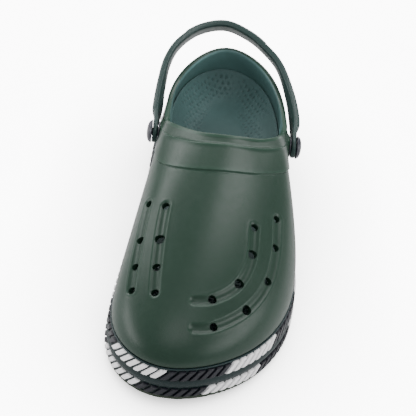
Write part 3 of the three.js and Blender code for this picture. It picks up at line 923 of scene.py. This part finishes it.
# ---------- midsole and bars ----------
def wall_profile():
    """Midsole's side as inset and height: a full round channel floor for each row of bars, a rib that
    swells between them and a rounded margin at the feather line."""
    low_edge = OUTSOLE + GAP
    floor = 0.55

    def channel(low, high):
        """One channel's lower lip, floor and upper lip."""
        lower_lip = [(0.05, low - 0.25), (0.2, low - 0.05), (floor, low + 0.2), (floor, (low + high) / 2)]
        return lower_lip + [(floor, high - 0.2), (0.2, high + 0.05), (0.05, high + 0.3)]

    top = CHANNELS["lower"][1]
    middle = (top + CHANNELS["upper"][0]) / 2
    across_rib = np.linspace(-0.85, 0.85, 9)
    rib = [(0.05 - 0.7 * (1 - r * r), middle + r * (middle - top - 0.4)) for r in across_rib]
    margin = [(-0.15, 27.75), (-0.15, 28.15), (0.05, 28.5), (0.4, 28.7)]
    margin += [(0.9, 28.7), (1.4, 28.6), (1.8, 28.4)]
    start = [(1.3, low_edge), (0.5, low_edge), (0.15, low_edge + 0.12)]
    return start + channel(*CHANNELS["lower"]) + rib + channel(*CHANNELS["upper"]) + margin


class CLOG_OT_midsole(bpy.types.Operator):
    """Makes the midsole with the two channels round its side"""

    bl_idname = "clog.midsole"
    bl_label = "Midsole"

    def execute(self, context):
        columns = 520
        wall = [sole_point(stations(columns), inset, height) for inset, height in wall_profile()]
        shares = (0.02, 0.3, 0.6, 0.85, 1.0)
        under = inwards(1.4, [(share, OUTSOLE + GAP) for share in shares[:-1]], columns)
        lid = inwards(FEATHER + TAPER + 1, [(share, SOLE_HEIGHT - GAP) for share in shares[::-1]], columns)
        rings = np.array([*under, *wall, *lid])
        marks = np.zeros(rings.shape[:2])
        first = len(under)
        # Painted highlight: the top of the margin at the feather line is marked to be painted lighter.
        marks[first + len(wall) - 7 : first + len(wall) - 2] = 0.8
        sole = ring_solid("midsole_body", rings, marks={"wear": marks})
        deliver(sole, "shoe", "midsole_foam", finish_of("midsole"), "midsole")
        return {"FINISHED"}


def bar_strip(name, channel, start, width):
    """One moulded strip: a web sunk in the midsole that carries slanted bars. Round the shoe and up the
    channel it is a height field, whose bars are rounded rectangles by their signed distance."""
    low, high = CHANNELS[channel]
    count = BARS_IN_BLOCK
    pitch = GIRTH / BLOCKS / count
    half = np.array([width / 2, (high - low) / 2 - 0.1])
    corner, shoulder = 0.9, 0.55
    flank = np.array([0.12, 0.3, 0.36, 0.385, 0.405, 0.43])
    local = np.concatenate([[-0.5], -flank[::-1], flank])
    along = (np.arange(count)[:, None] + 0.5 + local).ravel()
    along = np.append(along, count) * pitch
    edge_rows = np.array([0.0, 0.15, 0.3, 0.5, 0.85, 1.4])
    rows = np.concatenate([-half[1] + edge_rows, [0.0], half[1] - edge_rows[::-1]])
    a, b = np.meshgrid(along, rows, indexing="ij")
    in_bar = (a / pitch - 0.5 - np.clip(np.round(a / pitch - 0.5), 0, count - 1)) * pitch
    q = np.stack([np.abs(in_bar) - half[0] + corner, np.abs(b) - half[1] + corner], -1)
    signed = np.linalg.norm(np.maximum(q, 0), axis=-1) + np.minimum(q.max(-1), 0) - corner
    height = smooth(-signed / shoulder) ** 0.6
    web = CHANNEL_DEPTH - 0.5
    inset = web - (web + STRIP_PROUD) * height
    lean = -BAR_LEAN * (b + half[1])
    distance = start + a + lean
    level = (low + high) / 2 + b
    outer = sole_point(station_at(distance), inset, level)
    inner = sole_point(station_at(distance), np.full_like(inset, CHANNEL_DEPTH - 0.2), level)
    rings = np.concatenate([outer, inner[:, ::-1]], 1)
    marks = np.concatenate([ridge(signed, -0.35, 0.3), np.zeros_like(signed)], 1)
    return ring_solid(name, rings, sharp=55, marks={"wear": marks})


class CLOG_OT_bars(bpy.types.Operator):
    """Makes the white and navy bar strips in both channels"""

    bl_idname = "clog.bars"
    bl_label = "Bar strips"

    def execute(self, context):
        width = context.scene.clog_sizes.bar_width / MM
        for channel in CHANNELS:
            first = FIRST_BLOCK + (LOWER_SHIFT if channel == "lower" else 0)
            for i in range(BLOCKS):
                colour_name = "navy" if i % 2 else "white"
                label = f"{colour_name}_{channel}_{i // 2 + 1}"
                strip = bar_strip(f"strip_{label}", channel, (first + i / BLOCKS) * GIRTH, width)
                deliver(strip, "shoe", f"bars_{colour_name}", finish_of(colour_name), f"bars_{label}")
        return {"FINISHED"}


# ---------- outsole ----------
def tread(x, y, rim):
    """Depth of the tread under each plan point and whether lugs may stand there: a smooth border, a
    central channel that widens from the forefoot to the waist, and transverse grooves with ribs."""
    line = np.interp(y, [-126, -92, -60, -10, 40, 100, 125], [-14, -9, -4, 0, 1, 1, 1])
    rows = [-126, -119, -92, -63, -10, 40, 85, 112, 123]
    width = np.interp(y, rows, [0.5, 2.4, 4.2, 6, 9, 9.5, 7.5, 5.5, 0.5])
    aside = np.abs(x - line)
    channel = (1 - smooth((aside - width) / 1.6)) * (smooth((y + 127) / 4) - smooth((y - 119) / 5))
    ribs = np.zeros_like(x)
    grooves = np.zeros_like(x)
    for groove, bend in ((-92, 0.0012), (85, -0.0008)):
        off = y - groove + bend * (x - line) ** 2
        grooves = np.maximum(grooves, 1 - smooth((np.abs(off) - 1.6) / 1.0))
        ribs = np.maximum(ribs, 1 - smooth((np.abs(off) - 5.0) / 0.8))
    ribs = np.maximum(ribs, 1 - smooth((np.abs(aside - width - 2.4) - 1.2) / 0.8))
    for offset in (-24, 24):
        long_rib = 1 - smooth((np.abs(x - line - offset) - 0.7) / 0.6)
        ribs = np.maximum(ribs, long_rib * (np.abs(y + 4) < 86))
    border = 1 - smooth((rim - 6.5) / 1.2)
    field = (1 - np.maximum(ribs, border)) * (1 - channel)
    inside = smooth((rim - 4) / 2)
    depth = 1.9 * field + 1.5 * channel * inside + 2.0 * grooves * inside * (1 - channel)
    return depth, field


def lugs(sizes, clear):
    """Square lugs on a net turned a little to the shoe, every other row shifted by half a pitch: each is a
    small block with a chamfered face."""
    pitch, height = sizes.lug_pitch / MM, sizes.lug_height / MM
    turn = math.radians(4)
    i, j = np.meshgrid(np.arange(-14, 15), np.arange(-30, 31), indexing="ij")
    u, v = (i + 0.5).ravel() * pitch, (j + 0.5 * (i % 2)).ravel() * pitch
    x = u * math.cos(turn) - v * math.sin(turn)
    y = u * math.sin(turn) + v * math.cos(turn)
    keep = clear(x, y)
    x, y = x[keep], y[keep]
    side = pitch * 0.41
    rotation = np.array([[math.cos(turn), math.sin(turn)], [-math.sin(turn), math.cos(turn)]])
    square = np.array([(-1, -1), (1, -1), (1, 1), (-1, 1)]) @ rotation
    rings = []
    for scale, drop in ((1.0, height + 0.6), (0.97, 0.35), (0.78, 0.0)):
        flat = np.stack([x, y], -1)[:, None] + square * side * scale
        rings.append(np.concatenate([flat, (ground(flat[..., 1]) + drop)[..., None]], -1))
    blocks = np.stack(rings, 1)
    one = np.vstack([grid_faces(3, 4, False), [[3, 2, 1, 0], [8, 9, 10, 11]]])
    one = outwards(blocks[0].reshape(-1, 3), one)
    faces = one + 12 * np.arange(len(blocks))[:, None, None]
    return blocks.reshape(-1, 3), faces.reshape(-1, 4)


class CLOG_OT_outsole(bpy.types.Operator):
    """Makes the outsole with its channel, grooves, ribs and lugs"""

    bl_idname = "clog.outsole"
    bl_label = "Outsole"

    def execute(self, context):
        sizes = context.scene.clog_sizes
        border = edge(stations(1200), 0.2)
        x, y = across(border, 330, 150)
        rim = border_distance(x, y, border)
        depth, _ = tread(x, y, rim)
        corner = 1.5 * (1 - smooth(rim / 2.2)) ** 2
        bottom = ground(y) + depth + corner
        top = ground(y) * (1 - OUTSOLE / LIFT_FADE) + OUTSOLE
        plate = np.concatenate([np.stack([x, y, top], -1), np.stack([x, y, bottom], -1)[:, ::-1]], 1)
        rows, columns = plate.shape[:2]
        points = plate.reshape(-1, 3)
        quads = outwards(points, grid_faces(rows, columns, False))

        def clear(px, py):
            """Whether a lug may stand at each point: inside the border, off every rib and groove."""
            near = border_distance(px, py, border)
            left = np.interp(py, y[:, 0], x[:, 0])
            right = np.interp(py, y[:, 0], x[:, -1])
            within = (px > left) & (px < right) & (py > y[0, 0] + 6) & (py < y[-1, 0] - 6)
            return within & (near > 9.2) & (tread(px, py, near)[1] > 0.93)

        lug_points, lug_faces = lugs(sizes, clear)
        faces = np.concatenate([quads, lug_faces + len(points)])
        hollow = np.concatenate([0 * depth, depth[:, ::-1] / 2.0], 1)
        hollow = np.append(hollow.ravel(), np.zeros(len(lug_points)))
        everything = place(np.vstack([points, lug_points]))
        sole = mesh_object("outsole_tread", everything, faces.tolist(), sharp=35, marks={"hollow": hollow})
        deliver(sole, "shoe", "outsole_rubber", finish_of("outsole"), "outsole")
        return {"FINISHED"}


# ---------- strap ----------
def strap_rings(sizes):
    """Strap's sections along its loop. Each is a rounded rectangle of width by thickness, narrowed to a
    half circle past each rivet, thinned round the rivets, and leans by the table above; its outer face is
    crowned and carries a low plain panel at the back."""
    inner, outer = (rivet_face("washer", side, 1) + side * (GAP + STRAP_THICK / 2) for side in SIDES)
    middle_points = [
        (inner, 0),
        (inner, 8),
        (-44.8, 24),
        (-43.9, 42),
        (-41.5, 62),
        (-35, 79),
        (-21.5, 94),
        (-3.6, 100.5),
        (13, 94),
        (25.8, 83),
        (36.8, 68),
        (45, 43),
        (48.8, 22),
        (outer, 8),
        (outer, 0),
    ]
    line = curve_through(middle_points, 260)
    round_off = -TAB_R * np.cos(np.linspace(0, math.pi / 2, 16))[:-1]
    first = np.column_stack([np.full(15, inner), round_off])
    last = np.column_stack([np.full(15, outer), round_off[::-1]])
    line = np.vstack([first, line, last])
    reach = lengths_along(line)
    total = reach[-1]
    from_end = np.minimum(reach, total - reach)
    t = reach / total
    along = unit(np.gradient(line, reach, axis=0))
    out = np.stack([-along[:, 1], along[:, 0], np.zeros(len(t))], -1)
    up = np.array([0.0, 0.0, 1.0])
    share, lean = curve_through(STRAP_LEAN, 300).T
    tilt = np.radians(np.interp(t, share, lean))[:, None]
    width_axis = up * np.cos(tilt) - out * np.sin(tilt)
    depth_axis = out * np.cos(tilt) + up * np.sin(tilt)

    past = np.clip(TAB_R - from_end, 0, TAB_R * 0.999)
    tab = np.sqrt(TAB_R**2 - past**2)
    neck = smooth((from_end - TAB_R) / 16)
    half = np.where(from_end < TAB_R, tab, TAB_R + (STRAP_WIDTH / 2 - TAB_R) * neck)
    swell = smooth((from_end - SWELL_START) / 1.2)[:, None]

    angle = angles(44)[None]
    c, s = np.cos(angle), np.sin(angle)
    w = np.sign(c) * np.abs(c) ** 0.42
    d = np.sign(s) * np.abs(s) ** 0.55
    back = np.abs(reach - total / 2)[:, None]
    panel = (1 - smooth((back - 31) / 1.2)) * (1 - smooth((np.abs(w) - 0.62) / 0.1)) * (d > 0.5)
    outside = SWELL_OUT * np.clip(d * 2, 0, 1) + STRAP_CROWN * (1 - w**2)
    swelling = np.where(d > 0, outside, SWELL_IN * np.clip(d * 2, -1, 0))
    thickness = STRAP_THICK / 2 * d + swell * swelling + sizes.strap_panel_depth / MM * panel
    flat = np.column_stack([line, np.zeros(len(line))])
    rings = flat[:, None] + width_axis[:, None] * (w * half[:, None])[..., None]
    rings = rings + depth_axis[:, None] * thickness[..., None]
    # Painted highlight along both long edges of the strap's outer face.
    wear = ridge(np.abs(w), 0.85, 0.12) * np.clip(d, 0, 1)
    return rings, np.broadcast_to(wear, thickness.shape)


class CLOG_OT_strap(bpy.types.Operator):
    """Makes the heel strap"""

    bl_idname = "clog.strap"
    bl_label = "Heel strap"

    def execute(self, context):
        rings, wear = strap_rings(context.scene.clog_sizes)
        to_rest = np.array(Matrix.Rotation(math.radians(STRAP_REST), 3, "X"))
        band = ring_solid("heel_strap_band", rings @ to_rest.T + PIVOT, marks={"wear": wear})
        cut(band, bores(47, 22))
        deliver(band, "strap", "strap_foam", finish_of("strap"), "heel_strap")
        return {"FINISHED"}


# ---------- rivets ----------
def turned(profile, side):
    """Rings of a piece turned round the pivot line, from (radius, distance out) pairs on one side."""
    angle = angles(72)
    radius, out = np.array(profile, float).T
    y, z = radius[:, None] * np.cos(angle), radius[:, None] * np.sin(angle)
    x = np.broadcast_to(side * out[:, None], y.shape)
    return np.stack([x, y, z], -1) + PIVOT


def arc(radius, out, span, count, size, out_size=None):
    """Arc of a profile about (radius, out) over a span of degrees: part of a circle, or of an ellipse
    if out_size is given."""
    angle = np.radians(np.linspace(*span, count))
    return [(radius + size * math.cos(a), out + (out_size or size) * math.sin(a)) for a in angle]


def rivet_profiles(side):
    """Profiles of one side's head with its shaft, washer and cap, as (radius, distance out) pairs: flat
    faces, rounded edges, and an elliptical dome on the head and on the cap."""
    washer_low, washer_top = (side * rivet_face("washer", side, way) for way in (-1, 1))
    base = side * rivet_face("head", side, 1) - HEAD_HEIGHT
    face = side * rivet_face("cap", side, 1)
    bore = SHAFT_R + GAP
    tip = face + GAP - 1.4
    shaft = [(0.05, tip), (SHAFT_R - 0.3, tip), (SHAFT_R, tip + 0.3), (SHAFT_R, base)]
    edge_of_head = [(HEAD_R - 0.5, base), *arc(HEAD_R - 0.5, base + 0.5, (-90, 60), 7, 0.5)]
    dome = arc(0, base + 1.1, (DOME_START, DOME_END), 22, HEAD_R * 0.93, HEAD_HEIGHT - 1.1)
    rim = WASHER_R - 0.25
    low_round = arc(rim, washer_low + 0.25, (-90, 0), 4, 0.25)
    top_round = arc(rim, washer_top - 0.25, (0, 90), 4, 0.25)
    cap_round = arc(CAP_R - 0.3, face - 0.3, (90, 0), 5, 0.3)
    crown = arc(0, face - 0.9, (-CROWN_START, -DOME_END), 16, CAP_R * 0.97, CAP_THICK - 0.9)
    return {
        "head": shaft + edge_of_head + dome,
        "washer": [(bore, washer_low), *low_round, *top_round, (bore, washer_top)],
        "cap": [(0.05, tip - GAP), (bore, tip - GAP), (bore, face), *cap_round, *crown],
    }


class CLOG_OT_rivets(bpy.types.Operator):
    """Makes both rivets: domed heads, washers and the caps inside the shoe"""

    bl_idname = "clog.rivets"
    bl_label = "Rivets"

    def execute(self, context):
        for side, name in SIDES.items():
            for kind, profile in rivet_profiles(side).items():
                rings = turned(profile, side)
                piece = ring_solid(f"rivet_{kind}_{name}_fine", rings, joined=kind == "washer", sharp=50)
                deliver(piece, "shoe", "rivet_plastic", finish_of("rivet"), f"rivet_{kind}_{name}")
        return {"FINISHED"}


# ---------- stage ----------
CAMERA_ELEVATION = 43.0
CAMERA_AZIMUTH = -3.5
CAMERA_ROLL = 8.8
CAMERA_DISTANCE = 1.2
CAMERA_LENS = 153.6
CAMERA_AIM = (-4.3, 6.0, 30.0)
SENSOR_WIDTH = 36.0
FLOOR_HALF = 3.0
LIGHT_AIM = (0.0, -0.02, 0.05)

# Each light: its setting, where it stands and its two sizes, in metres.
LIGHTS = (
    ("key", (-0.66, 0.50, 0.62), (0.55, 0.42)),
    ("top", (0.30, 0.42, 0.95), (0.26, 0.42)),
    ("fill", (0.88, -0.32, 0.45), (0.70, 0.40)),
    ("side", (-1.05, -0.05, 0.26), (0.70, 0.30)),
    ("back", (0.0, 0.95, 0.66), (1.50, 0.26)),
    ("front", (0.0, -0.42, 1.15), (0.80, 0.40)),
)


def add_camera():
    """Camera on a sphere round its aim: azimuth 0 looks along +Y, and roll turns it about its axis."""
    e, a, roll = (math.radians(v) for v in (CAMERA_ELEVATION, CAMERA_AZIMUTH, CAMERA_ROLL))
    back = Vector((math.sin(a) * math.cos(e), -math.cos(a) * math.cos(e), math.sin(e)))
    right = (-back).cross(Vector((0, 0, 1))).normalized()
    up = right.cross(-back)
    turned_right = right * math.cos(roll) + up * math.sin(roll)
    turned_up = up * math.cos(roll) - right * math.sin(roll)
    data = bpy.data.cameras.new("camera")
    data.lens, data.sensor_width = CAMERA_LENS, SENSOR_WIDTH
    camera = bpy.data.objects.new("camera", data)
    aim = Vector((np.array(CAMERA_AIM) + OFFSET) * MM)
    rows = Matrix((turned_right, turned_up, back)).transposed()
    camera.matrix_world = Matrix.Translation(aim + back * CAMERA_DISTANCE) @ rows.to_4x4()
    bpy.context.scene.collection.objects.link(camera)
    bpy.context.scene.camera = camera


def add_light(name, place_at, size, watts):
    """White rectangular area light at place_at that faces the shoe."""
    data = bpy.data.lights.new(name, "AREA")
    data.shape, data.size, data.size_y = "RECTANGLE", *size
    data.energy = watts
    lamp = bpy.data.objects.new(name, data)
    lamp.location = place_at
    lamp.rotation_euler = (Vector(LIGHT_AIM) - Vector(place_at)).to_track_quat("-Z", "Y").to_euler()
    bpy.context.scene.collection.objects.link(lamp)


def floor_finish(rgb):
    """Plain pale matt floor with a very faint mottle. It glows only to the camera, and ambient occlusion
    dims the glow near the shoe: a painted contact shadow.
    """
    finish = Finish("floor", {"Roughness": 0.9, "Emission Strength": 9.0})
    finish.feed(base_color=finish.mix(finish.noise(7.0), shade(rgb, 0.985), rgb))
    seen = finish.node("ShaderNodeLightPath", {}, {}, "Is Camera Ray")
    # Painted contact shadow: ambient occlusion darkens the floor's glow near the shoe.
    clear = finish.node("ShaderNodeAmbientOcclusion", {"samples": 8}, {"Distance": 0.09}, "AO")
    finish.feed(emission_color=seen * clear**1.6)
    return finish.material


class CLOG_OT_stage(bpy.types.Operator):
    """Sets the floor, the camera and the studio lights"""

    bl_idname = "clog.stage"
    bl_label = "Stage"

    def execute(self, context):
        scene = context.scene
        add_camera()
        for name, place_at, size in LIGHTS:
            add_light(name, place_at, size, getattr(scene.clog_lights, name))
        world = bpy.data.worlds.new("surroundings")
        world.use_nodes = True
        background = world.node_tree.nodes["Background"]
        background.inputs[0].default_value = (1.0, 1.0, 1.0, 1.0)
        background.inputs[1].default_value = scene.clog_lights.world
        scene.world = world
        mesh = bpy.data.meshes.new("floor")
        corners = [(x * FLOOR_HALF, y * FLOOR_HALF, 0) for x, y in ((-1, -1), (1, -1), (1, 1), (-1, 1))]
        mesh.from_pydata(corners, [], [(0, 1, 2, 3)])
        mesh.materials.append(floor_finish(tuple(scene.clog_colours.floor)))
        floor = bpy.data.objects.new("floor", mesh)
        scene.collection.objects.link(floor)
        return {"FINISHED"}


class CLOG_PT_panel(bpy.types.Panel):
    """Buttons and settings of the clog"""

    bl_idname = "CLOG_PT_panel"
    bl_label = "Garden clog"
    bl_space_type = "VIEW_3D"
    bl_region_type = "UI"
    bl_category = "Clog"

    def draw(self, context):
        """Lists a button per piece, then the settings."""
        for operator in OPERATORS:
            self.layout.operator(operator.bl_idname)
        for group in (context.scene.clog_sizes, context.scene.clog_colours, context.scene.clog_lights):
            box = self.layout.box()
            for key in group.__annotations__:
                box.prop(group, key)


GROUPS = {"clog_sizes": ClogSizes, "clog_colours": ClogColours, "clog_lights": ClogLights}
OPERATORS = (
    CLOG_OT_stage,
    CLOG_OT_upper,
    CLOG_OT_footbed,
    CLOG_OT_midsole,
    CLOG_OT_bars,
    CLOG_OT_outsole,
    CLOG_OT_strap,
    CLOG_OT_rivets,
)


def register():
    """Adds the add-on's classes and settings."""
    for cls in (*GROUPS.values(), *OPERATORS, CLOG_PT_panel):
        bpy.utils.register_class(cls)
    for key, cls in GROUPS.items():
        setattr(bpy.types.Scene, key, bpy.props.PointerProperty(type=cls))


def unregister():
    """Takes the add-on's classes and settings away."""
    for key in GROUPS:
        delattr(bpy.types.Scene, key)
    for cls in reversed((*GROUPS.values(), *OPERATORS, CLOG_PT_panel)):
        bpy.utils.unregister_class(cls)


def main():
    register()
    for operator in OPERATORS:
        group, name = operator.bl_idname.split(".")
        getattr(getattr(bpy.ops, group), name)()


if __name__ == "__main__":
    main()
